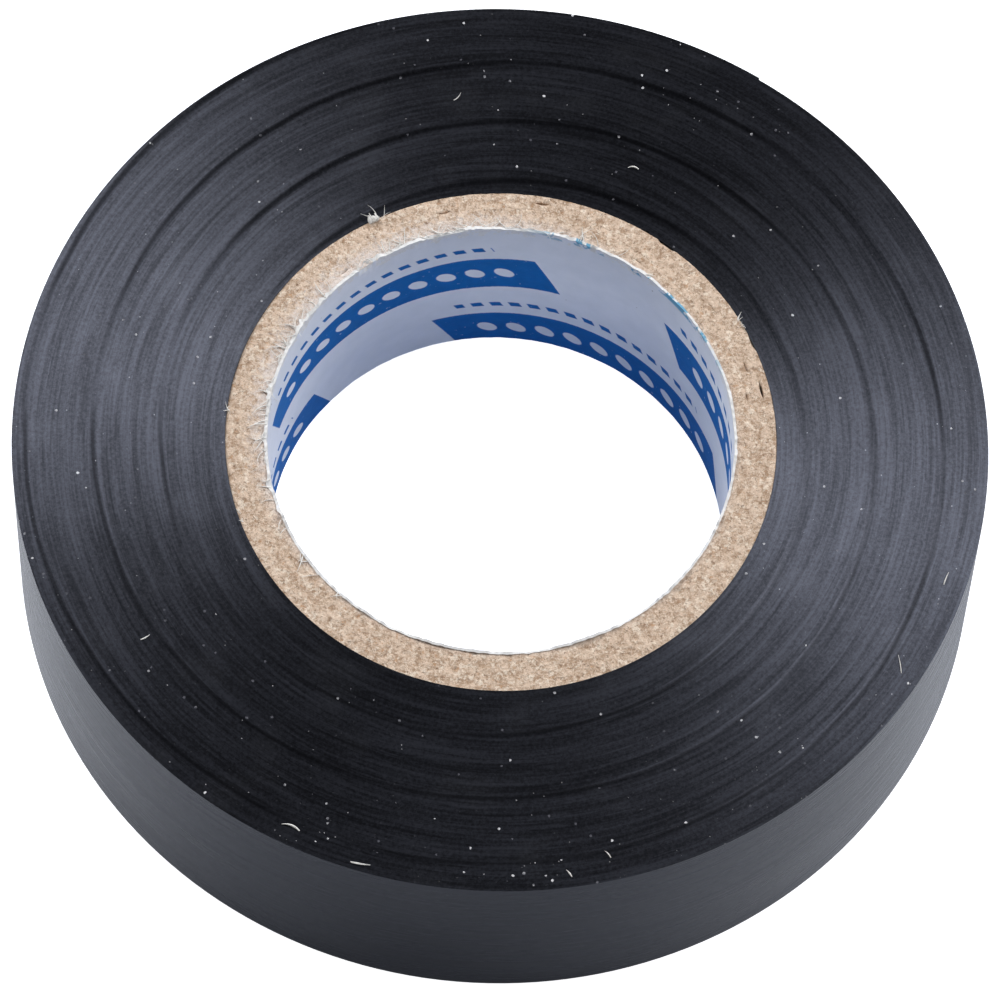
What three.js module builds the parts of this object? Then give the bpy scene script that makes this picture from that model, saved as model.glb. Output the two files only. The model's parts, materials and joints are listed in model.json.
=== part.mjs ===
// A roll of PVC electrical tape, lying flat on one end face.
//
// Units are millimetres and +Z is the roll's axis. The origin is on the axis, at the bottom face.
// The roll is one long strip of tape wound on a cardboard core. The core is a tube of nested
// plies glued together: a thin paper liner on the inside, then chipboard plies. The last stretch
// of the outermost turn is the free end. It is a chain of short links, so that it can be peeled.

import * as THREE from 'three';

// Driving dimensions of the tape
const TAPE_WIDTH = 19;
const TAPE_THICKNESS = 0.15;
const TURN_COUNT = 109;

// Driving dimensions of the core
const BORE_RADIUS = 17.85;
const LINER_THICKNESS = 0.15;
const CHIPBOARD_PLY_COUNT = 5;
const CHIPBOARD_PLY_THICKNESS = 0.6;
const GLUE_LINE = 0.02;
const CORE_RECESS = 0.1;

// Driving dimensions of the free end, in degrees about the roll's axis. The cut end is at
// TAIL_TIP_ANGLE, and the tail runs counter-clockwise from there until it joins the roll.
const TAIL_TIP_ANGLE = 60;
const TAIL_LINK_COUNT = 12;
const TAIL_LINK_ANGLE = 7.5;
const TAIL_LINK_GAP_ANGLE = 0.04;
const TAIL_LIFT = 0.02;

// Facet sizes, in degrees. The core and the tape's inner wall share theirs, so that the gap
// between two nested rings is the same all the way round.
const TAPE_FACET_ANGLE = 2.5;
const CORE_SEGMENTS = 72;

// Derived dimensions
const TAIL_ROOT_ANGLE = TAIL_TIP_ANGLE + TAIL_LINK_COUNT * TAIL_LINK_ANGLE;
const CORE_LENGTH = TAPE_WIDTH - 2 * CORE_RECESS;
const CHIPBOARD_PITCH = CHIPBOARD_PLY_THICKNESS + GLUE_LINE;
const CHIPBOARD_START_RADIUS = BORE_RADIUS + LINER_THICKNESS + GLUE_LINE;
const CORE_OUTER_RADIUS = CHIPBOARD_START_RADIUS + CHIPBOARD_PLY_COUNT * CHIPBOARD_PITCH - GLUE_LINE;
const TAPE_INNER_RADIUS = CORE_OUTER_RADIUS + GLUE_LINE;
const ROLL_RADIUS = TAPE_INNER_RADIUS + TURN_COUNT * TAPE_THICKNESS;

// Outer radius of the strip, at an angle counted counter-clockwise from the cut end. The strip
// goes one thickness deeper into the roll on each full turn.
function stripOuterRadius(angleFromTip) {
  return ROLL_RADIUS - TAPE_THICKNESS * angleFromTip / 360;
}

function polarPoint(radius, angle) {
  const radians = THREE.MathUtils.degToRad(angle);
  return new THREE.Vector2(radius * Math.cos(radians), radius * Math.sin(radians));
}

// Points of an arc whose radius may change along it, from one angle to another.
function arcPoints(radiusAt, fromAngle, toAngle, facetAngle) {
  const facetCount = Math.round(Math.abs(toAngle - fromAngle) / facetAngle);
  const points = [];
  for (let i = 0; i <= facetCount; i += 1) {
    const angle = fromAngle + (toAngle - fromAngle) * i / facetCount;
    points.push(polarPoint(radiusAt(angle), angle));
  }
  return points;
}

// Corners of a ring, at the same angles as a lathe with CORE_SEGMENTS segments.
function ringPoints(radius) {
  const points = [];
  for (let i = 0; i < CORE_SEGMENTS; i += 1) {
    points.push(polarPoint(radius, 360 * i / CORE_SEGMENTS));
  }
  return points;
}

function extrudeToTapeWidth(shape) {
  return new THREE.ExtrudeGeometry(shape, { depth: TAPE_WIDTH, bevelEnabled: false });
}

// The wound strip. Under the tail its surface is the second turn, one thickness deeper. Past the
// tail's root its surface is the outermost turn, until that one comes round to the cut end.
function woundTapeGeometry() {
  const secondTurnRadius = (angle) => stripOuterRadius(angle - TAIL_TIP_ANGLE + 360) - TAIL_LIFT;
  const firstTurnRadius = (angle) => stripOuterRadius(angle - TAIL_TIP_ANGLE);
  const underTail = arcPoints(secondTurnRadius, TAIL_TIP_ANGLE, TAIL_ROOT_ANGLE, TAPE_FACET_ANGLE);
  const pastRoot = arcPoints(firstTurnRadius, TAIL_ROOT_ANGLE, TAIL_TIP_ANGLE + 360, TAPE_FACET_ANGLE);
  // The outline closes back on its first point, which is lower by TAIL_LIFT at the same angle.
  const outline = new THREE.Shape([...underTail, ...pastRoot]);
  outline.holes.push(new THREE.Path(ringPoints(TAPE_INNER_RADIUS)));
  return extrudeToTapeWidth(outline);
}

// One link of the tail. Link 1 joins the roll at the tail's root, and the last link ends at the
// cut. Each link stops short of the next one, by a gap on its side towards the cut end.
function tailLinkGeometry(linkNumber) {
  const rootSide = TAIL_ROOT_ANGLE - (linkNumber - 1) * TAIL_LINK_ANGLE - TAIL_LINK_GAP_ANGLE;
  const tipSide = TAIL_ROOT_ANGLE - linkNumber * TAIL_LINK_ANGLE;
  const outerRadius = (angle) => stripOuterRadius(angle - TAIL_TIP_ANGLE);
  const innerRadius = (angle) => outerRadius(angle) - TAPE_THICKNESS;
  const outerArc = arcPoints(outerRadius, tipSide, rootSide, TAPE_FACET_ANGLE);
  const innerArc = arcPoints(innerRadius, rootSide, tipSide, TAPE_FACET_ANGLE);
  return extrudeToTapeWidth(new THREE.Shape([...outerArc, ...innerArc]));
}

// One ply of the core: a plain ring, turned about the roll's axis.
function plyGeometry(innerRadius, thickness) {
  const outerRadius = innerRadius + thickness;
  const profile = [
    new THREE.Vector2(innerRadius, 0),
    new THREE.Vector2(outerRadius, 0),
    new THREE.Vector2(outerRadius, CORE_LENGTH),
    new THREE.Vector2(innerRadius, CORE_LENGTH),
    new THREE.Vector2(innerRadius, 0),
  ];
  const ring = new THREE.LatheGeometry(profile, CORE_SEGMENTS);
  // A lathe turns about Y, and a quarter turn about X stands it on Z.
  ring.rotateX(Math.PI / 2);
  return ring;
}

function blackPvc() {
  return new THREE.MeshStandardMaterial({ color: 0x26262c, roughness: 0.42, metalness: 0 });
}

function chipboard() {
  return new THREE.MeshStandardMaterial({ color: 0xa89274, roughness: 0.95, metalness: 0 });
}

function linerPaper() {
  return new THREE.MeshStandardMaterial({ color: 0xd4d6e2, roughness: 0.75, metalness: 0 });
}

function addPart(group, name, geometry, material) {
  const mesh = new THREE.Mesh(geometry, material);
  mesh.name = name;
  group.add(mesh);
}

function twoDigits(number) {
  return String(number).padStart(2, '0');
}

const roll = new THREE.Group();

const core = new THREE.Group();
core.position.z = CORE_RECESS;
addPart(core, 'core_liner', plyGeometry(BORE_RADIUS, LINER_THICKNESS), linerPaper());
for (let ply = 1; ply <= CHIPBOARD_PLY_COUNT; ply += 1) {
  const innerRadius = CHIPBOARD_START_RADIUS + (ply - 1) * CHIPBOARD_PITCH;
  addPart(core, `core_ply_${ply}`, plyGeometry(innerRadius, CHIPBOARD_PLY_THICKNESS), chipboard());
}
roll.add(core);

addPart(roll, 'wound_tape', woundTapeGeometry(), blackPvc());

for (let link = 1; link <= TAIL_LINK_COUNT; link += 1) {
  addPart(roll, `tail_link_${twoDigits(link)}`, tailLinkGeometry(link), blackPvc());
}

export default roll;
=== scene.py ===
"""Looks of a roll of black PVC electrical tape, built around its CAD frame.

Everything is in metres in the frame's own axes: +Z is the roll's axis and the roll lies on Z = 0.
The tape is one strip. A place along it is its winding angle, counted from the cut end: it runs
counter-clockwise and goes one tape thickness deeper into the roll on each full turn.
"""

import json
import math

import bpy
import numpy as np
from mathutils import Matrix, Vector, noise


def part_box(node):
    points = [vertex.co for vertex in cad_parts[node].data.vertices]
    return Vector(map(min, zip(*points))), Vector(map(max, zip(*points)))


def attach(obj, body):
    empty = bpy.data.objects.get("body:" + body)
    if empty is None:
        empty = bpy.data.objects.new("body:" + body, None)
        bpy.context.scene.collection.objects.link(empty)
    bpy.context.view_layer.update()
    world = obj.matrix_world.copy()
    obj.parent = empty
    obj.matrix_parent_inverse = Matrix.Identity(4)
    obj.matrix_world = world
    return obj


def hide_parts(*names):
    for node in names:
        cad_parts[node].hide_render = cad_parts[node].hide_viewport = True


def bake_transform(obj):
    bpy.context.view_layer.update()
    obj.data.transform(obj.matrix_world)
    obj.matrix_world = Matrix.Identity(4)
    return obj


MM = 0.001
FULL_TURN = 2 * math.pi

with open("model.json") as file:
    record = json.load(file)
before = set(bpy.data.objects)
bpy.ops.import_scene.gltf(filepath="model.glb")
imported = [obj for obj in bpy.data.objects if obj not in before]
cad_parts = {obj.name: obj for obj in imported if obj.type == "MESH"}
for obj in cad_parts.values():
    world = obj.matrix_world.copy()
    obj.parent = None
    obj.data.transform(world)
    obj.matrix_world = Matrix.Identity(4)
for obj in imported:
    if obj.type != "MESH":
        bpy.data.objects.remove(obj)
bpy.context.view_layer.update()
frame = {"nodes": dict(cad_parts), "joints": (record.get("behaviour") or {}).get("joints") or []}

# ---------------------------------------------------------------------------------------------
# Dimensions from the frame
# ---------------------------------------------------------------------------------------------


def polar_angle(point):
    return math.atan2(point[1], point[0])


# The free end is a chain of links, and hinge 1 is at its root.
HINGES = [Vector(joint["pos_m"]) for joint in frame["joints"]]
LINK_COUNT = len(HINGES)
LINK_ANGLE = polar_angle(HINGES[0]) - polar_angle(HINGES[1])
TAIL_WINDING = LINK_COUNT * LINK_ANGLE
TIP_ANGLE = polar_angle(HINGES[0]) - TAIL_WINDING

# The hinges lie on the strip's outer side, which goes deeper into the roll towards the root.
first_hinge_radius = HINGES[0].to_2d().length
last_hinge_radius = HINGES[-1].to_2d().length
hinge_span = (LINK_COUNT - 1) * LINK_ANGLE
TAPE_THICKNESS = (last_hinge_radius - first_hinge_radius) * FULL_TURN / hinge_span
ROLL_RADIUS = first_hinge_radius + TAPE_THICKNESS * TAIL_WINDING / FULL_TURN
TAPE_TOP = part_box("wound_tape")[1].z

BOARD_COUNT = sum(1 for node in frame["nodes"] if node.startswith("core_ply_"))
BOARD_RADII = [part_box(f"core_ply_{number}")[1].x for number in range(1, BOARD_COUNT + 1)]
BOARD_PITCH = BOARD_RADII[1] - BOARD_RADII[0]
CORE_RADIUS = BOARD_RADII[-1]
CORE_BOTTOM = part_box("core_ply_1")[0].z
CORE_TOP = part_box("core_ply_1")[1].z
LINER_OUTER_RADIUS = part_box("core_liner")[1].x

# A box doesn't give these two sizes, so they repeat the CAD's own.
LINER_THICKNESS = 0.15 * MM
GLUE_LINE = 0.02 * MM

BORE_RADIUS = LINER_OUTER_RADIUS - LINER_THICKNESS
TAPE_INNER_RADIUS = CORE_RADIUS + GLUE_LINE
TURN_COUNT = round((ROLL_RADIUS - TAPE_INNER_RADIUS) / TAPE_THICKNESS)

# ---------------------------------------------------------------------------------------------
# Mesh helpers
# ---------------------------------------------------------------------------------------------


def around_axis(radius, angle, height):
    """A place from its distance from the roll's axis, its angle round it and its height."""
    return Vector((radius * math.cos(angle), radius * math.sin(angle), height))


def add_mesh(name, points, faces, material, sharp_degrees=40):
    """A mesh object, smooth except at edges sharper than sharp_degrees."""
    mesh = bpy.data.meshes.new(name)
    mesh.from_pydata([tuple(point) for point in points], [], faces)
    mesh.validate()
    mesh.shade_smooth()
    mesh.set_sharp_from_angle(angle=math.radians(sharp_degrees))
    mesh.materials.append(material)
    piece = bpy.data.objects.new(name, mesh)
    bpy.context.scene.collection.objects.link(piece)
    return piece


def on_roll(piece, slot, *nodes):
    """The piece rides on the roll and stands for CAD nodes. slot is not used."""
    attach(piece, "roll")
    if nodes:
        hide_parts(*nodes)


def tube_faces(ring_count, ring_length, first=0, closed=False, flip=False):
    """Quads along a tube whose points are stored ring by ring. A closed tube joins its start."""
    faces = []
    for ring in range(ring_count if closed else ring_count - 1):
        this = first + ring * ring_length
        after = first + (ring + 1) % ring_count * ring_length
        for n in range(ring_length):
            m = (n + 1) % ring_length
            a, b, c, d = this + n, this + m, after + m, after + n
            faces.append((a, d, c, b) if flip else (a, b, c, d))
    return faces


# ---------------------------------------------------------------------------------------------
# Shape of the tape strip
# ---------------------------------------------------------------------------------------------

STEPS_PER_TURN = 192
STEP_ANGLE = FULL_TURN / STEPS_PER_TURN
WALL_ROWS = 9

# Depth of the groove between two turns, and how unevenly the grooves are spaced, as a share of
# the tape's thickness.
GROOVE_DEPTH = 0.014 * MM
PITCH_UNEVENNESS = 0.13

# Slow wander of each turn in and out, between knots along the strip
WANDER_DEPTH = 0.013 * MM
WANDER_KNOT_ANGLE = math.radians(47)

# Sideways runs of the strip. The rise back takes up the share STAGGER_RETURN of a period.
STAGGER_DEPTH = 0.16 * MM
STAGGER_PERIOD = math.radians(370.7)
STAGGER_START = math.radians(71)
STAGGER_RETURN = 0.09

# Low ridges and hollows of the whole pack, with one wave for each width. The lean is in radians.
PACK_WAVE_DEPTH = 0.007 * MM
PACK_WAVE_WIDTHS = (4.3 * MM, 2.3 * MM, 1.25 * MM, 0.7 * MM)
PACK_WAVE_LEAN = 1.5

strip_random = np.random.RandomState(7)
knot_count = int(FULL_TURN * (TURN_COUNT + 2) / WANDER_KNOT_ANGLE) + 2
WANDER_KNOTS = strip_random.uniform(0, 1, knot_count)
PITCH_KNOTS = strip_random.uniform(-1, 1, knot_count)


def strip_outer_radius(winding):
    return ROLL_RADIUS - TAPE_THICKNESS * winding / FULL_TURN


def along_knots(knots, winding):
    return np.interp(winding / WANDER_KNOT_ANGLE, np.arange(len(knots)), knots)


def stagger(winding):
    """How far the strip sits below the roll's face, because it ran in and out sideways while it
    was wound. The period is a little over one turn, so the steps between turns line up in a
    slow spiral that drifts round the face."""
    phase = np.mod((winding - STAGGER_START) / STAGGER_PERIOD, 1)
    falling = phase / (1 - STAGGER_RETURN)
    rising = (1 - phase) / STAGGER_RETURN
    return STAGGER_DEPTH * np.minimum(falling, rising)


def pack_waves(winding):
    """Depth of the pack's low ridges and hollows. Each is many turns wide, and leans as it goes
    round the face."""
    radius = strip_outer_radius(winding)
    angle = TIP_ANGLE + winding
    waves = 0
    for lobes, width in enumerate(PACK_WAVE_WIDTHS, start=1):
        lean = PACK_WAVE_LEAN * np.sin(lobes * angle + width / MM)
        waves = waves + 0.5 + 0.5 * np.sin(FULL_TURN * radius / width + lean)
    return PACK_WAVE_DEPTH * waves


def edge_recess(winding):
    """Depth of a turn's edge below the roll's end face."""
    wander = WANDER_DEPTH * along_knots(WANDER_KNOTS, winding)
    return stagger(winding) + wander + pack_waves(winding)


def boundary_radii(winding, on_outer_wall):
    """Radii of the lines between turns. They are spaced a little unevenly, except on the outer
    wall, and the first turn's inner line is the inner wall."""
    exact = strip_outer_radius(winding) - TAPE_THICKNESS
    pitch_error = along_knots(PITCH_KNOTS, np.maximum(winding, 0))
    uneven = exact + PITCH_UNEVENNESS * TAPE_THICKNESS * pitch_error
    radii = np.where(on_outer_wall, exact, uneven)
    radii[:STEPS_PER_TURN] = TAPE_INNER_RADIUS
    return radii


def edge_face(boundary, crown, step_count, faces_up):
    """Quads of one spiral edge face: an inner and an outer half for each step, on either side of
    the turn's crown. boundary and crown are the numbers of the first point of each line."""
    faces = []
    for step in range(step_count):
        inner = boundary + step
        outer = inner + STEPS_PER_TURN
        middle = crown + step
        for quad in (
            (inner, middle, middle + 1, inner + 1),
            (middle, outer, outer + 1, middle + 1),
        ):
            faces.append(quad[::-1] if faces_up else quad)
    return faces


def tape_windings(material):
    """The wound strip as one closed mesh: both edge faces as a real spiral, turn by turn, with a
    groove between neighbouring turns, and the outer and inner walls."""
    step_count = (TURN_COUNT - 1) * STEPS_PER_TURN - round(TAIL_WINDING / STEP_ANGLE)
    start_winding = FULL_TURN * (TURN_COUNT - 1)

    # Boundary i is the inner edge of step i, and the outer edge of the step one turn before.
    boundary = np.arange(step_count + STEPS_PER_TURN + 1)
    boundary_winding = start_winding - boundary * STEP_ANGLE
    boundary_radius = boundary_radii(boundary_winding, boundary >= step_count)
    boundary_recess = edge_recess(boundary_winding + 0.5 * STEP_ANGLE) + GROOVE_DEPTH

    # Crown i is the middle of step i's edge.
    crown_winding = boundary_winding[:-STEPS_PER_TURN]
    crown_radius = 0.5 * (boundary_radius[:-STEPS_PER_TURN] + boundary_radius[STEPS_PER_TURN:])
    crown_recess = edge_recess(crown_winding)

    points = []

    def add_line(winding, radius, height):
        first = len(points)
        angle = TIP_ANGLE + winding
        points.extend(np.stack([radius * np.cos(angle), radius * np.sin(angle), height], axis=1))
        return first

    top_boundary = add_line(boundary_winding, boundary_radius, TAPE_TOP - boundary_recess)
    top_crown = add_line(crown_winding, crown_radius, TAPE_TOP - crown_recess)
    low_boundary = add_line(boundary_winding, boundary_radius, boundary_recess)
    low_crown = add_line(crown_winding, crown_radius, crown_recess)
    faces = edge_face(top_boundary, top_crown, step_count, faces_up=True)
    faces += edge_face(low_boundary, low_crown, step_count, faces_up=False)

    # The outer wall follows the last turn, and closes at the step where the tail leaves.
    wall = boundary[step_count:]
    rows = [top_boundary + wall]
    for row in range(1, WALL_ROWS):
        share = row / WALL_ROWS
        top_height = TAPE_TOP - boundary_recess[wall]
        height = top_height * (1 - share) + boundary_recess[wall] * share
        rows.append(add_line(boundary_winding[wall], boundary_radius[wall], height) + wall - step_count)
    rows.append(low_boundary + wall)
    for upper, lower in zip(rows, rows[1:]):
        for n in range(STEPS_PER_TURN):
            faces.append((upper[n], upper[n + 1], lower[n + 1], lower[n]))
    root_loop = [row[0] for row in rows] + [low_crown + step_count]
    root_loop += [row[-1] for row in reversed(rows)] + [top_crown + step_count]
    faces.append(root_loop)

    # The inner wall follows the first turn, and closes at the step where the strip starts.
    for n in range(STEPS_PER_TURN):
        faces.append((top_boundary + n + 1, top_boundary + n, low_boundary + n, low_boundary + n + 1))
    start_loop = [top_boundary, top_crown, top_boundary + STEPS_PER_TURN]
    start_loop += [low_boundary + STEPS_PER_TURN, low_crown, low_boundary]
    faces.append(start_loop)

    faces = [tuple(int(index) for index in face) for face in faces]
    piece = add_mesh("tape_windings", points, faces, material)
    on_roll(piece, "black_pvc", "wound_tape")


# ---------------------------------------------------------------------------------------------
# The free end
# ---------------------------------------------------------------------------------------------

TAIL_STEP_ANGLE = math.radians(0.375)


def tail_section(winding):
    """The strip's cross-section, as (radius, height) points in a loop."""
    outer = strip_outer_radius(winding)
    inner = outer - TAPE_THICKNESS
    middle = 0.5 * (outer + inner)
    recess = float(edge_recess(winding))
    groove = recess + GROOVE_DEPTH
    top = TAPE_TOP - groove
    loop = []
    for row in range(WALL_ROWS + 1):
        loop.append((outer, groove + (top - groove) * row / WALL_ROWS))
    loop.append((middle, TAPE_TOP - recess))
    for row in range(WALL_ROWS + 1):
        loop.append((inner, top + (groove - top) * row / WALL_ROWS))
    loop.append((middle, recess))
    return loop


def tail_piece(name, from_winding, to_winding, material):
    """A length of the free end as a closed mesh, between two winding angles."""
    section_count = round((to_winding - from_winding) / TAIL_STEP_ANGLE) + 1
    points = []
    for winding in np.linspace(from_winding, to_winding, section_count):
        for radius, height in tail_section(winding):
            points.append(around_axis(radius, TIP_ANGLE + winding, height))
    loop_length = len(points) // section_count
    faces = tube_faces(section_count, loop_length, flip=True)
    faces.append(tuple(range(loop_length)))
    faces.append(tuple(reversed(range(len(points) - loop_length, len(points)))))
    return add_mesh(name, points, faces, material)


def tape_tail(material):
    """The free end, cut at the middle of each link so that each piece holds one hinge.

    A piece as long as its blend would bend in waves. A blend of 1 + sqrt(3) link lengths, centred
    on the hinge, keeps each piece in the blend's even middle part, and its neighbours then meet
    it in place and in direction."""
    half_link = 0.5 * LINK_ANGLE
    for number, (joint, hinge) in enumerate(zip(frame["joints"], HINGES), start=1):
        hinge_winding = TAIL_WINDING - (number - 1) * LINK_ANGLE
        root_side = hinge_winding if number == 1 else hinge_winding + half_link
        tip_side = 0 if number == LINK_COUNT else hinge_winding - half_link
        piece = tail_piece(f"tail_strip_{number:02d}", tip_side, root_side, material)
        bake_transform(piece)
        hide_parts(f"tail_link_{number:02d}")


# ---------------------------------------------------------------------------------------------
# The core
# ---------------------------------------------------------------------------------------------

# Boards: steps round the ring and points across its cut end, the gap between two boards, and the
# lumps of the cut end as (depth, size, seed)
BOARD_STEPS = 720
BOARD_COLUMNS = 5
BOARD_GAP = 0.008 * MM
BOARD_LUMPS = ((0.050 * MM, 0.32 * MM, 3), (0.035 * MM, 0.9 * MM, 5))

# Seams between boards. They gape here and there, and most of all about SLIT_ANGLE.
SLIT_ANGLE = math.radians(62)
SEAM_RADIUS = 0.9 * CORE_RADIUS
SEAM_GRAIN = 2.0 * MM
SEAM_TIGHTNESS = 0.75
SLIT_SLACKNESS = 0.40
SEAM_DEPTH = 1.0 * MM
SEAM_WIDTH = 0.30 * MM

# Liner: steps round and up it, and its torn edge. The tear is rough at three sizes and the frayed
# lip at two, each as (strength, size, seed). The lip is widest at FUZZ_ANGLE.
LINER_STEPS = 1080
LINER_ROWS = 24
TEAR_LAYERS = ((1.0, 3.1 * MM, 21), (0.8, 0.9 * MM, 23), (0.5, 0.35 * MM, 24))
TEAR_RISE = 0.04 * MM
TEAR_HEIGHT = 0.24 * MM
DEEPEST_TEAR = -1.3
SHRED_LAYERS = ((1.0, 1.9 * MM, 25), (0.7, 0.45 * MM, 26))
FUZZ_ANGLE = math.radians(140)


def rough(angle, radius, height, grain, seed):
    """Smooth noise from -1 to 1 over a place on the roll. grain is its size in metres."""
    return noise.noise(around_axis(radius, angle, height) / grain + Vector((seed, 0, 0)))


def layered_rough(angle, radius, height, layers):
    """A sum of rough noises, from rows of strength, grain and seed."""
    return sum(
        strength * rough(angle, radius, height, grain, seed) for strength, grain, seed in layers
    )


def ring_from_profile(name, profile_at, step_count, material):
    """A closed ring. profile_at(angle) gives its cross-section as a loop of (radius, height)."""
    points = []
    for step in range(step_count):
        angle = FULL_TURN * step / step_count
        for radius, height in profile_at(angle):
            points.append(around_axis(radius, angle, height))
    faces = tube_faces(step_count, len(points) // step_count, closed=True)
    return add_mesh(name, points, faces, material, sharp_degrees=60)


def seam_opening(seam, angle, end):
    """How far a seam gapes at a board's end, from 0. Seam n lies outside board n."""
    tightness = SEAM_TIGHTNESS - SLIT_SLACKNESS * max(0, math.cos(angle - SLIT_ANGLE))
    return max(0, rough(angle, SEAM_RADIUS, end, SEAM_GRAIN, seed=31 * seam) - tightness)


def board_end(number, angle, end, inward):
    """Points across one cut end of a board, from its inner to its outer side. inward is the sign
    of the way into the board."""
    outer = BOARD_RADII[number - 1] - 0.5 * BOARD_GAP
    inner = outer - BOARD_PITCH + BOARD_GAP
    lump_depth = sum(depth for depth, _, _ in BOARD_LUMPS)
    row = []
    for n in range(BOARD_COLUMNS + 1):
        radius = inner + (outer - inner) * n / BOARD_COLUMNS
        drop = lump_depth + layered_rough(angle, radius, end, BOARD_LUMPS)
        if n == 0:
            opening = seam_opening(number - 1, angle, end)
            radius += SEAM_WIDTH * opening
            drop += SEAM_DEPTH * opening
        elif n == BOARD_COLUMNS:
            opening = seam_opening(number, angle, end)
            radius -= SEAM_WIDTH * opening
            drop += SEAM_DEPTH * opening
        row.append((radius, end + inward * drop))
    return row


def board_profile(number, angle):
    """One chipboard layer. Its cut ends are lumpy, and its corners are rounded off unevenly, so
    the lines between the layers show in some places and not in others."""
    bottom = board_end(number, angle, CORE_BOTTOM, 1)
    top = board_end(number, angle, CORE_TOP, -1)
    return bottom + top[::-1]


def core_boards(material):
    for number in range(1, BOARD_COUNT + 1):
        board = ring_from_profile(
            f"core_board_{number}",
            lambda angle: board_profile(number, angle),
            BOARD_STEPS,
            material,
        )
        on_roll(board, "chipboard", f"core_ply_{number}")


def liner_profile(angle):
    """The paper liner. Its top edge is torn: it stands up unevenly and frays over the board."""
    inner = BORE_RADIUS
    outer = LINER_OUTER_RADIUS
    tear = max(DEEPEST_TEAR, layered_rough(angle, inner, 0, TEAR_LAYERS))
    top = CORE_TOP + TEAR_RISE + TEAR_HEIGHT * tear
    shred = max(0, layered_rough(angle, inner, 0, SHRED_LAYERS))
    toward_fuzz = max(0, math.cos(angle - FUZZ_ANGLE))
    fray = (0.06 + 0.10 * shred + toward_fuzz * (0.10 + 0.45 * shred)) * MM
    bottom = CORE_BOTTOM + 0.05 * MM * (1 + rough(angle, inner, 0, 0.8 * MM, seed=27))
    loop = []
    for n in range(LINER_ROWS + 1):
        height = bottom + (top - bottom) * n / LINER_ROWS
        ripple = 0.03 * MM * rough(angle, inner, height, 4 * MM, seed=29)
        lean = 0.4 * fray if n == LINER_ROWS else 0
        loop.append((inner + ripple + lean, height))
    loop.append((outer + fray, max(top - 0.05 * MM, CORE_TOP - 0.02 * MM)))
    loop.append((outer, min(top, CORE_TOP) - 0.22 * MM))
    loop.append((outer, bottom))
    return loop[::-1]


def core_liner(material):
    liner = ring_from_profile("liner_paper", liner_profile, LINER_STEPS, material)
    on_roll(liner, "liner_paper", "core_liner")


# ---------------------------------------------------------------------------------------------
# Lint on the tape and frayed paper at the core
# ---------------------------------------------------------------------------------------------

FIBRE_SIDES = 5
FIBRE_STEPS = 8

# Hairs of lint on the tape's upper face: direction from the axis, radius, length, lie, curl and
# thickness, with angles in degrees and lengths in millimetres
HAIRS = (
    (-112, 36.0, 1.5, 135, 60, 0.17),
    (-105, 36.9, 1.5, -12, 10, 0.15),
    (-79, 36.6, 0.7, 120, 25, 0.13),
    (-17, 35.7, 1.1, 76, -10, 0.10),
    (-74, 35.6, 0.7, 120, 30, 0.10),
    (-30, 35.9, 1.5, 95, 12, 0.07),
    (100, 29.4, 0.9, 30, 50, 0.08),
    (68, 25.6, 0.9, 140, 80, 0.14),
    (-145, 32.2, 0.8, 20, 30, 0.12),
)
HAIR_LIFT = 0.05 * MM

# Tufts of paper at the core's outer edge: direction from the axis in degrees, number of fibres,
# and their greatest length and thickness in millimetres
TUFTS = (
    (121, 14, 0.75, 0.34),
    (119, 4, 1.5, 0.07),
    (176, 5, 0.8, 0.08),
    (31, 6, 0.9, 0.09),
    (-158, 3, 0.6, 0.09),
)
TUFT_INSET = 0.2 * MM

TORN_FIBRE_COUNT = 150
TORN_FIBRE_SPREAD = math.radians(38)


def fibre_points(start, heading, length, curl, thickness, lift):
    """The rings of one closed, tapered fibre. It starts at start and bends by curl in all, while
    it rises by lift over its length."""
    points = []
    middle = Vector(start)
    step = length / FIBRE_STEPS
    for n in range(FIBRE_STEPS + 1):
        share = n / FIBRE_STEPS
        turned = heading + curl * share
        forward = Vector((math.cos(turned), math.sin(turned), 0))
        sideways = Vector((-forward.y, forward.x, 0))
        taper = 0.35 + 0.65 * math.sin(math.pi * min(1, share + 0.12))
        for side in range(FIBRE_SIDES):
            spin = FULL_TURN * side / FIBRE_SIDES
            offset = sideways * math.cos(spin) + Vector((0, 0, math.sin(spin)))
            points.append(middle + offset * 0.5 * thickness * taper)
        middle = middle + forward * step + Vector((0, 0, lift / FIBRE_STEPS))
    return points


def fibre_bundle(name, fibres, material):
    """Several fibres as one piece. Each is a row of fibre_points' values."""
    points = []
    faces = []
    for fibre in fibres:
        first = len(points)
        points += fibre_points(*fibre)
        faces += tube_faces(FIBRE_STEPS + 1, FIBRE_SIDES, first)
        faces.append(tuple(reversed(range(first, first + FIBRE_SIDES))))
        faces.append(tuple(range(len(points) - FIBRE_SIDES, len(points))))
    piece = add_mesh(name, points, faces, material)
    on_roll(piece, "liner_paper")


def lint(material):
    """A few hairs of lint that lie on the tape's upper face."""
    fibres = []
    for degrees, radius, length, lie, curl, thickness in HAIRS:
        start = around_axis(radius * MM, math.radians(degrees), TAPE_TOP)
        bend = math.radians(curl)
        fibres.append((start, math.radians(lie), length * MM, bend, thickness * MM, HAIR_LIFT))
    fibre_bundle("lint", fibres, material)


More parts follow.
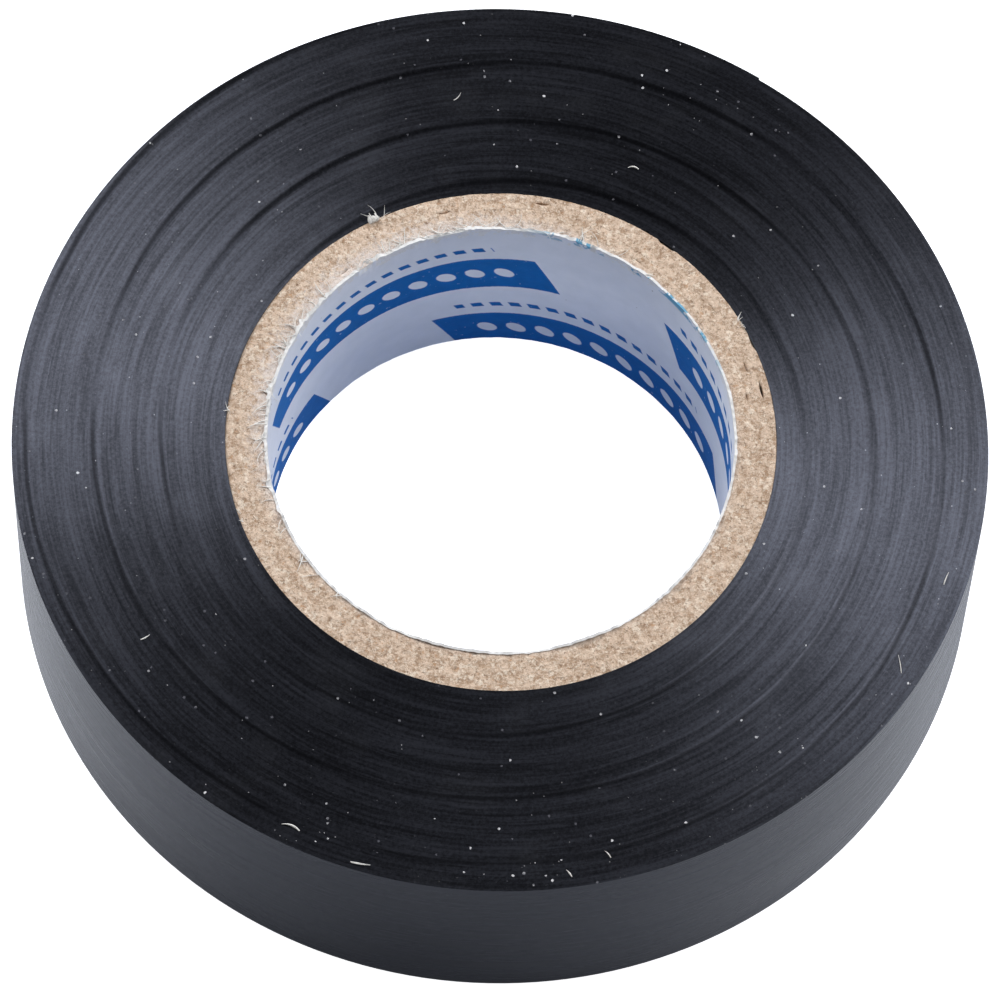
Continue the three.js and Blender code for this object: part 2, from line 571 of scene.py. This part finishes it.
def frayed_paper(material):
    """Tufts of torn paper that stick out over the tape from the core's outer edge."""
    draw = np.random.RandomState(31)
    fibres = []
    for degrees, count, longest, thickest in TUFTS:
        for _ in range(count):
            angle = math.radians(degrees + draw.uniform(-1.2, 1.2))
            height = CORE_TOP + draw.uniform(0, 0.10) * MM
            start = around_axis(CORE_RADIUS - TUFT_INSET, angle, height)
            heading = angle + draw.uniform(-1.1, 1.1)
            length = longest * draw.uniform(0.4, 1.0) * MM
            curl = draw.uniform(-1.2, 1.2)
            thickness = thickest * draw.uniform(0.5, 1.0) * MM
            lift = draw.uniform(0.1, 0.3) * MM
            fibres.append((start, heading, length, curl, thickness, lift))
    fibre_bundle("frayed_paper", fibres, material)


def torn_fibres(material):
    """Loose fibres of the torn liner that lie over the chipboard, most of them at the worst tear."""
    draw = np.random.RandomState(47)
    fibres = []
    for _ in range(TORN_FIBRE_COUNT):
        angle = FUZZ_ANGLE + draw.normal(0, TORN_FIBRE_SPREAD)
        height = CORE_TOP + draw.uniform(-0.05, 0.05) * MM
        start = around_axis(LINER_OUTER_RADIUS, angle, height)
        heading = angle + draw.uniform(-1.4, 1.4)
        length = draw.uniform(0.4, 1.7) * MM
        curl = draw.uniform(-1.8, 1.8)
        thickness = draw.uniform(0.04, 0.10) * MM
        lift = draw.uniform(0, 0.15) * MM
        fibres.append((start, heading, length, curl, thickness, lift))
    fibre_bundle("torn_fibres", fibres, material)


# ---------------------------------------------------------------------------------------------
# Material helpers
# ---------------------------------------------------------------------------------------------


def srgb(red, green, blue):
    """A linear colour from display values of 0 to 255."""

    def linear(value):
        share = value / 255
        return share / 12.92 if share <= 0.04045 else ((share + 0.055) / 1.055) ** 2.4

    return (linear(red), linear(green), linear(blue), 1)


class Shader:
    """A short way to write one material's nodes. Inputs are numbers, vectors or sockets, and
    places are in millimetres."""

    def __init__(self, name):
        self.material = bpy.data.materials.new(name)
        self.material.use_nodes = True
        self.nodes = self.material.node_tree.nodes
        self.links = self.material.node_tree.links
        self.surface = self.nodes["Principled BSDF"]
        place = self.nodes.new("ShaderNodeTexCoord").outputs["Object"]
        scaled = self.nodes.new("ShaderNodeVectorMath")
        scaled.operation = "SCALE"
        scaled.inputs["Scale"].default_value = 1 / MM
        self.links.new(place, scaled.inputs[0])
        self.place = scaled.outputs[0]
        self.x, self.y, self.z = self.split(self.place)

    def put(self, socket, value):
        if isinstance(value, bpy.types.NodeSocket):
            self.links.new(value, socket)
        else:
            socket.default_value = value

    def set(self, **inputs):
        """Sets inputs of the surface shader, with _ for a space in their names."""
        for name, value in inputs.items():
            self.put(self.surface.inputs[name.replace("_", " ")], value)

    def math(self, operation, *values, clamp=False):
        node = self.nodes.new("ShaderNodeMath")
        node.operation = operation
        node.use_clamp = clamp
        for socket, value in zip(node.inputs, values):
            self.put(socket, value)
        return node.outputs[0]

    def add(self, a, b):
        return self.math("ADD", a, b)

    def multiply(self, a, b):
        return self.math("MULTIPLY", a, b)

    def one_minus(self, value, clamp=False):
        return self.math("SUBTRACT", 1, value, clamp=clamp)

    def length(self, a, b):
        """Length of the hypotenuse over a and b."""
        return self.math("SQRT", self.add(self.multiply(a, a), self.multiply(b, b)))

    def between(self, value, low, high):
        """0 below low and 1 above high, smooth between them."""
        node = self.nodes.new("ShaderNodeMapRange")
        node.interpolation_type = "SMOOTHSTEP"
        for socket, item in zip(node.inputs, (value, low, high, 0, 1)):
            self.put(socket, item)
        return node.outputs[0]

    def scale(self, value, low, high):
        """A value from 0 to 1, stretched to run from low to high."""
        return self.math("MULTIPLY_ADD", value, high - low, low)

    def split(self, vector):
        node = self.nodes.new("ShaderNodeSeparateXYZ")
        self.links.new(vector, node.inputs[0])
        return node.outputs

    def combine(self, x, y, z):
        node = self.nodes.new("ShaderNodeCombineXYZ")
        for socket, value in zip(node.inputs, (x, y, z)):
            self.put(socket, value)
        return node.outputs[0]

    def noise(self, place, per_mm, detail=3, roughness=0.5):
        """Noise from 0 to 1, with per_mm waves in a millimetre."""
        node = self.nodes.new("ShaderNodeTexNoise")
        self.put(node.inputs["Vector"], place)
        self.put(node.inputs["Scale"], per_mm)
        self.put(node.inputs["Detail"], detail)
        self.put(node.inputs["Roughness"], roughness)
        return node.outputs["Fac"]

    def streaks(self, position, across, along, detail=3, roughness=0.6):
        """Noise drawn out round the axis. position is a length across the streaks, and across and
        along are the noise's waves in a millimetre each way."""
        around = (self.multiply(self.x, along), self.multiply(self.y, along))
        place = self.combine(self.multiply(position, across), *around)
        return self.noise(place, 1, detail, roughness)

    def cells(self, place, per_mm):
        """Distance to the nearest of some scattered points, and a random value for that point."""
        node = self.nodes.new("ShaderNodeTexVoronoi")
        self.put(node.inputs["Vector"], place)
        self.put(node.inputs["Scale"], per_mm)
        channels = self.nodes.new("ShaderNodeSeparateColor")
        self.links.new(node.outputs["Color"], channels.inputs[0])
        return node.outputs["Distance"], channels.outputs[0]

    def mix(self, factor, a, b):
        """A colour between a and b."""
        node = self.nodes.new("ShaderNodeMix")
        node.data_type = "RGBA"
        for index, value in ((0, factor), (6, a), (7, b)):
            self.put(node.inputs[index], value)
        return node.outputs[2]

    def mix_numbers(self, factor, a, b):
        """A number between a and b."""
        node = self.nodes.new("ShaderNodeMix")
        for index, value in ((0, factor), (2, a), (3, b)):
            self.put(node.inputs[index], value)
        return node.outputs[0]

    def bump(self, height, distance, strength, under=None):
        """A surface direction from a height. under is the direction of a bump beneath it."""
        node = self.nodes.new("ShaderNodeBump")
        self.put(node.inputs["Height"], height)
        self.put(node.inputs["Distance"], distance)
        self.put(node.inputs["Strength"], strength)
        if under is not None:
            self.put(node.inputs["Normal"], under)
        return node.outputs[0]

    def dust(self, per_mm, amount, size):
        """Scattered specks: 1 inside a speck and 0 elsewhere. amount is the share of cells that
        hold one, as a number or a socket, and size is about a speck's radius."""
        distance, chance = self.cells(self.place, per_mm)
        present = self.math("LESS_THAN", chance, amount)
        fine = self.noise(self.place, 9, detail=2)
        radius = self.multiply(self.scale(fine, 0.4, 1.6), size * per_mm)
        inside = self.math("LESS_THAN", distance, radius)
        return self.multiply(present, inside)


# ---------------------------------------------------------------------------------------------
# Materials. Lengths in them are in millimetres, apart from the depth of a bump.
# ---------------------------------------------------------------------------------------------

WALL_SHINE = 0.12


def edge_face_mask(s):
    """1 on the roll's two end faces and 0 on its walls."""
    normal = s.nodes.new("ShaderNodeNewGeometry").outputs["Normal"]
    upright = s.math("ABSOLUTE", s.split(normal)[2])
    return s.math("GREATER_THAN", upright, 0.5)


def stagger_line(s, radius):
    """1 along the slow spiral where the stack of turns steps sideways, 0 away from it. The tape's
    material paints shade along it, for the shadow down each step.
    """
    drift = TAPE_THICKNESS / (1 - FULL_TURN / STAGGER_PERIOD) / MM
    start = TIP_ANGLE / FULL_TURN + STAGGER_START / STAGGER_PERIOD + ROLL_RADIUS / MM / drift
    around = s.multiply(s.math("ARCTAN2", s.y, s.x), 1 / FULL_TURN)
    uneven = s.multiply(s.add(s.noise(s.place, 0.11, detail=2), -0.5), 0.08)
    outward = s.add(s.multiply(radius, 1 / drift), uneven)
    phase = s.math("FRACT", s.add(s.add(around, outward), 0.5 + 0.5 * STAGGER_RETURN - start))
    off_line = s.math("ABSOLUTE", s.add(phase, -0.5))
    return s.one_minus(s.between(off_line, 0.008, 0.062))


def tape_dust(s, radius, is_edge_face):
    """Where dust lies on the tape. There is more of it towards the front rim, and little on the
    walls."""
    rim = s.between(radius, ROLL_RADIUS / MM - 9, ROLL_RADIUS / MM)
    front = s.between(s.multiply(s.y, -1), -10, 34)
    crowd = s.add(0.34, s.multiply(0.60, s.multiply(rim, front)))
    patch = s.between(s.noise(s.place, 0.09, detail=2), 0.35, 0.7)
    specks = s.dust(1.05, s.multiply(crowd, s.scale(patch, 0.35, 1.5)), size=0.105)
    specks = s.multiply(specks, s.scale(is_edge_face, 0.06, 1))
    fine_specks = s.multiply(s.dust(2.4, s.multiply(crowd, 0.45), size=0.045), 0.5)
    fine_specks = s.multiply(fine_specks, s.scale(is_edge_face, 0.2, 1))
    return s.math("MAXIMUM", specks, fine_specks)


def tape_material():
    """Black PVC. The stacked edges scatter light across the turns much more than along them, so
    they shine in two wedges, as a record does. The outer wall is smooth film."""
    s = Shader("black_pvc_tape")
    radius = s.length(s.x, s.y)
    is_edge_face = edge_face_mask(s)
    turns = s.streaks(radius, across=4.2, along=0.12, roughness=0.7)
    groups = s.streaks(radius, across=1.1, along=0.06, roughness=0.62)
    film = s.between(s.streaks(s.z, across=1.3, along=0.06, detail=4, roughness=0.65), 0.32, 0.68)
    grain = s.noise(s.place, 3.6, roughness=0.85)
    smears = s.between(s.noise(s.place, 0.22, roughness=0.55), 0.50, 0.74)
    dust = tape_dust(s, radius, is_edge_face)

    mottle = s.add(s.multiply(turns, 0.36), s.multiply(groups, 0.27))
    tone = s.between(s.add(mottle, s.multiply(grain, 0.40)), 0.39, 0.66)
    # Painted shade: along the spiral of steps between turns, the colour is darkened and the shine
    # lowered for the shadow that falls into each step. The shade fades in and out round the face.
    fading = s.between(s.noise(s.place, 0.055, detail=2), 0.36, 0.60)
    painted_step_shade = s.multiply(stagger_line(s, radius), s.scale(fading, 0.25, 1.0))
    off_line = s.one_minus(s.multiply(painted_step_shade, s.scale(turns, 0.25, 1.0)), clamp=True)

    edges = s.mix(tone, srgb(5, 5, 6), srgb(12, 12, 15))
    edges = s.mix(s.multiply(smears, 0.6), edges, srgb(18, 18, 19))
    # Painted shade in the colour along the steps between turns
    edges = s.mix(off_line, srgb(3, 3, 4), edges)
    wall = s.mix(film, srgb(14, 16, 21), srgb(22, 24, 31))
    speck_tone = s.between(s.noise(s.place, 0.9, detail=2), 0.48, 0.68)
    speck = s.mix(speck_tone, srgb(68, 68, 73), srgb(210, 210, 214))
    s.set(Base_Color=s.mix(dust, s.mix(is_edge_face, wall, edges), speck))

    wall_roughness = s.scale(film, 0.22, 0.31)
    edge_roughness = s.scale(tone, 0.44, 0.54)
    roughness = s.mix_numbers(is_edge_face, wall_roughness, edge_roughness)
    s.set(Roughness=s.math("MAXIMUM", roughness, s.multiply(dust, 0.9)))
    s.set(Anisotropic=s.multiply(is_edge_face, 0.82), Tangent=s.combine(s.x, s.y, 0))
    edge_shine = s.add(s.scale(tone, 0.40, 1.08), s.multiply(smears, 0.12))
    edge_shine = s.multiply(edge_shine, off_line)
    extra_shine = s.multiply(is_edge_face, s.add(edge_shine, -WALL_SHINE))
    s.set(Specular_IOR_Level=s.add(WALL_SHINE, extra_shine), Specular_Tint=srgb(222, 229, 255))
    s.set(IOR=1.54, Sheen_Roughness=0.35, Sheen_Weight=s.scale(is_edge_face, 0.21, 0))

    waviness = s.noise(s.combine(s.x, s.y, s.multiply(s.z, 0.35)), 0.5)
    film_bump = s.bump(waviness, 0.05 * MM, 0.25)
    relief = s.add(turns, s.multiply(grain, 0.5))
    s.set(Normal=s.bump(relief, 0.025 * MM, s.multiply(is_edge_face, 0.45), under=film_bump))
    return s.material


def liner_fuzz(s):
    """How much torn paper from the liner whitens the board, from 0 to 1. It reaches out from the
    bore unevenly, and furthest towards FUZZ_ANGLE."""
    towards = s.add(s.multiply(s.x, math.cos(FUZZ_ANGLE)), s.multiply(s.y, math.sin(FUZZ_ANGLE)))
    reach = s.scale(s.between(towards, 0, 19), 0.05, 2.6)
    ragged = s.between(s.noise(s.place, 2.6, detail=4, roughness=0.85), 0.22, 0.78)
    fuzz_edge = s.add(s.multiply(reach, ragged), LINER_OUTER_RADIUS / MM)
    past_edge = s.add(s.length(s.x, s.y), s.multiply(fuzz_edge, -1))
    return s.one_minus(s.between(past_edge, -1.3, 0.7))


def chipboard_material():
    """Raw cut chipboard: pulp in several browns, full of small cream, dark and rusty flecks."""
    # Flecks: how many in a millimetre, the noise's values where they start and are full, colour
    flecks = (
        (2.2, 0.55, 0.63, (244, 232, 217)),
        (2.5, 0.58, 0.66, (112, 88, 68)),
        (1.9, 0.61, 0.69, (186, 140, 100)),
        (4.0, 0.62, 0.69, (84, 62, 48)),
    )
    fleck_strength = 0.58
    pattern_shift = 40

    s = Shader("chipboard")
    pulp = s.noise(s.place, 1.5, detail=5, roughness=0.80)
    grain = s.noise(s.place, 4.6, roughness=0.75)
    colour = s.mix(s.between(pulp, 0.35, 0.65), srgb(165, 137, 113), srgb(221, 198, 178))
    colour = s.mix(s.multiply(s.between(grain, 0.46, 0.66), 0.7), colour, srgb(230, 212, 195))
    for number, (per_mm, low, high, fleck_colour) in enumerate(flecks, start=1):
        shifted = s.combine(s.x, s.add(s.y, pattern_shift * number), s.z)
        amount = s.between(s.noise(shifted, per_mm, roughness=0.7), low, high)
        colour = s.mix(s.multiply(amount, fleck_strength), colour, srgb(*fleck_colour))
    colour = s.mix(s.multiply(liner_fuzz(s), 0.7), colour, srgb(228, 221, 220))
    s.set(Base_Color=colour, Roughness=0.95, Specular_IOR_Level=0.15)
    s.set(Normal=s.bump(s.add(pulp, s.multiply(grain, 0.6)), 0.16 * MM, 0.9))
    return s.material


def fibre_material():
    """White cellulose, a little uneven."""
    s = Shader("paper_fibre")
    tone = s.noise(s.place, 3, detail=2)
    s.set(Base_Color=s.mix(tone, srgb(205, 203, 200), srgb(244, 243, 241)))
    s.set(Roughness=0.85, Specular_IOR_Level=0.2)
    return s.material


def printed_bars(s):
    """Where the liner's blue print lies: two rows of slanted bars, staggered by half a repeat,
    with a row of dots left white in each bar and a row of short dashes above it."""
    bar_length = 27.6
    bar_height = 4.8
    slant = 0.45
    repeat = 39.1
    row_pitch = 9.4
    lowest_row = 2.2
    first_bar = -3.0
    dot_pitch = 2.3
    dot_radius = 0.72
    dash_pitch = 1.5
    dash_row = 3.95
    soft_edge = 0.06

    def inside(value, half):
        return s.one_minus(s.between(s.math("ABSOLUTE", value), half - soft_edge, half + soft_edge))

    def from_middle(value, pitch):
        return s.add(s.math("WRAP", value, pitch, 0), -0.5 * pitch)

    from_back = s.math("ARCTAN2", s.multiply(s.x, -1), s.y)
    along = s.multiply(from_back, BORE_RADIUS / MM)
    wobble = s.multiply(s.add(s.noise(s.place, 3.5, detail=2), -0.5), 0.10)
    row_place = s.add(s.math("DIVIDE", s.add(s.z, -lowest_row), row_pitch), 0.5)
    row = s.math("FLOOR", row_place)
    up = s.add(s.multiply(s.add(s.math("FRACT", row_place), -0.5), row_pitch), wobble)
    shifted = s.add(along, s.add(s.multiply(row, -0.5 * repeat), 0.5 * repeat - first_bar))
    slanted = s.add(s.add(shifted, s.multiply(up, -slant)), wobble)
    in_repeat = s.math("WRAP", slanted, repeat, 0)

    half_bar = 0.5 * bar_length
    from_bar_middle = s.add(in_repeat, -half_bar)
    bar = s.multiply(inside(from_bar_middle, half_bar), inside(up, 0.5 * bar_height))
    dot = inside(s.length(from_middle(in_repeat, dot_pitch), up), dot_radius)
    dot = s.multiply(dot, inside(from_bar_middle, half_bar - 2))
    dash = s.multiply(
        inside(from_middle(in_repeat, dash_pitch), 0.45),
        inside(s.add(up, -dash_row), 0.32),
    )
    dash = s.multiply(dash, inside(from_bar_middle, half_bar - 2.6))
    print_area = s.math("MAXIMUM", s.math("SUBTRACT", bar, dot, clamp=True), dash)
    patchy = s.between(s.noise(s.place, 2.2, detail=4), 0.16, 0.34)
    below_third_row = s.math("LESS_THAN", row, 1.5)
    return s.multiply(s.multiply(print_area, patchy), below_third_row)


def ink_trace(s):
    """Traces of ink at the liner's upper edge, in one stretch at the back right."""
    back_right = s.between(s.add(s.multiply(s.x, 0.6), s.multiply(s.y, 0.8)), 14.5, 17)
    at_edge = s.between(s.z, CORE_TOP / MM - 0.75, CORE_TOP / MM - 0.45)
    patches = s.between(s.noise(s.place, 0.36, detail=4, roughness=0.7), 0.53, 0.57)
    return s.multiply(s.multiply(back_right, at_edge), patches)


def liner_material():
    """White liner paper with a plain blue pattern. Along its torn upper edge the printed face is
    gone, and white fibre shows."""
    s = Shader("printed_liner")
    torn_depth = s.between(s.noise(s.place, 0.8, detail=4, roughness=0.7), 0.35, 0.7)
    torn_height = s.add(CORE_TOP / MM - 0.05, s.multiply(s.multiply(torn_depth, 1.1), -1))
    torn = s.between(s.z, torn_height, s.add(torn_height, 0.12))
    ink = s.multiply(printed_bars(s), s.one_minus(torn))

    paper = s.mix(s.noise(s.place, 0.6, detail=4), srgb(214, 219, 228), srgb(232, 235, 243))
    fibre = s.mix(s.noise(s.place, 5), srgb(206, 206, 208), srgb(240, 240, 240))
    blue = s.mix(s.noise(s.place, 1.2), srgb(0, 90, 160), srgb(4, 106, 182))
    colour = s.mix(torn, paper, fibre)
    colour = s.mix(s.dust(0.9, 0.10, size=0.07), colour, srgb(120, 112, 108))
    colour = s.mix(s.multiply(ink_trace(s), 0.85), colour, srgb(44, 148, 188))
    s.set(Base_Color=s.mix(ink, colour, blue))
    s.set(Roughness=0.6, Specular_IOR_Level=s.scale(ink, 0.35, 0.12))
    s.set(Normal=s.bump(s.noise(s.place, 1.4, detail=4), 0.06 * MM, 0.5))
    return s.material


# ---------------------------------------------------------------------------------------------
# Stage: floor, light and camera
# ---------------------------------------------------------------------------------------------

FLOOR_HALF_WIDTH = 3.0
FLOOR_GAP = 0.02 * MM
WORLD_GLOW = 0.03
WORLD_SEEN = 1.1


def white_floor():
    """A white floor. It is pure white for the camera only, and glows just a little for the rest
    of the scene, so that it hardly lights the tape from below."""
    s = Shader("floor_white")
    s.set(Base_Color=(0.66, 0.70, 0.79, 1), Roughness=0.9, Specular_IOR_Level=0.0)
    seen = s.nodes.new("ShaderNodeLightPath").outputs["Is Camera Ray"]
    s.set(Emission_Color=s.mix(seen, (0.14, 0.15, 0.18, 1), (1.0, 1.0, 1.0, 1)))
    s.set(Emission_Strength=1.0)
    half = FLOOR_HALF_WIDTH
    corners = [(-half, -half, 0), (half, -half, 0), (half, half, 0), (-half, half, 0)]
    floor = add_mesh("floor", corners, [(0, 1, 2, 3)], s.material)
    floor.location.z = -FLOOR_GAP


def white_backdrop():
    """A world that is white for the camera, like the floor, and dim for everything else."""
    world = bpy.data.worlds.new("backdrop")
    world.use_nodes = True
    nodes = world.node_tree.nodes
    seen = nodes.new("ShaderNodeLightPath").outputs["Is Camera Ray"]
    strength = nodes.new("ShaderNodeMapRange")
    strength.inputs["To Min"].default_value = WORLD_GLOW
    strength.inputs["To Max"].default_value = WORLD_SEEN
    world.node_tree.links.new(seen, strength.inputs["Value"])
    world.node_tree.links.new(strength.outputs[0], nodes["Background"].inputs["Strength"])
    nodes["Background"].inputs["Color"].default_value = (0.95, 0.97, 1, 1)
    bpy.context.scene.world = world


def soft_light(name, place, width, height, power):
    """A rectangular light that points at the middle of the roll."""
    lamp = bpy.data.lights.new(name, "AREA")
    lamp.shape = "RECTANGLE"
    lamp.size = width
    lamp.size_y = height
    lamp.energy = power
    holder = bpy.data.objects.new(name, lamp)
    holder.location = place
    aim = Vector((0, 0, 10 * MM))
    holder.rotation_euler = (aim - Vector(place)).to_track_quat("-Z", "Y").to_euler()
    bpy.context.scene.collection.objects.link(holder)


def studio():
    """Floor and backdrop, with two soft lights behind the roll that make its two wedges of shine,
    and a low one in front for the outer wall."""
    white_floor()
    white_backdrop()
    soft_light("light_left", (-0.50, 0.52, 0.52), width=0.60, height=0.50, power=7.5)
    soft_light("light_right", (0.54, 0.32, 0.58), width=0.50, height=0.50, power=5.9)
    soft_light("light_front", (0.0, -1.0, 0.40), width=0.90, height=0.30, power=2.2)
    bpy.context.scene.view_settings.view_transform = "Standard"


def camera():
    """A long lens from in front and above, turned a little about its own axis."""
    elevation = math.radians(64.9)
    roll = math.radians(3.0)
    field_of_view = math.radians(7.75)
    distance = 0.575
    aim = Vector((0.16 * MM, 0, 7.7 * MM))
    back = Vector((0, -math.cos(elevation), math.sin(elevation)))
    lens = bpy.data.cameras.new("camera")
    lens.angle = field_of_view
    lens.clip_start = 0.01
    holder = bpy.data.objects.new("camera", lens)
    turn = (-back).to_track_quat("-Z", "Y").to_matrix() @ Matrix.Rotation(roll, 3, "Z")
    holder.matrix_world = Matrix.Translation(aim + back * distance) @ turn.to_4x4()
    bpy.context.scene.collection.objects.link(holder)
    bpy.context.scene.camera = holder


# ---------------------------------------------------------------------------------------------
# The whole scene
# ---------------------------------------------------------------------------------------------

pvc = tape_material()
fibre = fibre_material()
tape_windings(pvc)
tape_tail(pvc)
core_boards(chipboard_material())
core_liner(liner_material())
lint(fibre)
frayed_paper(fibre)
torn_fibres(fibre)
studio()
camera()
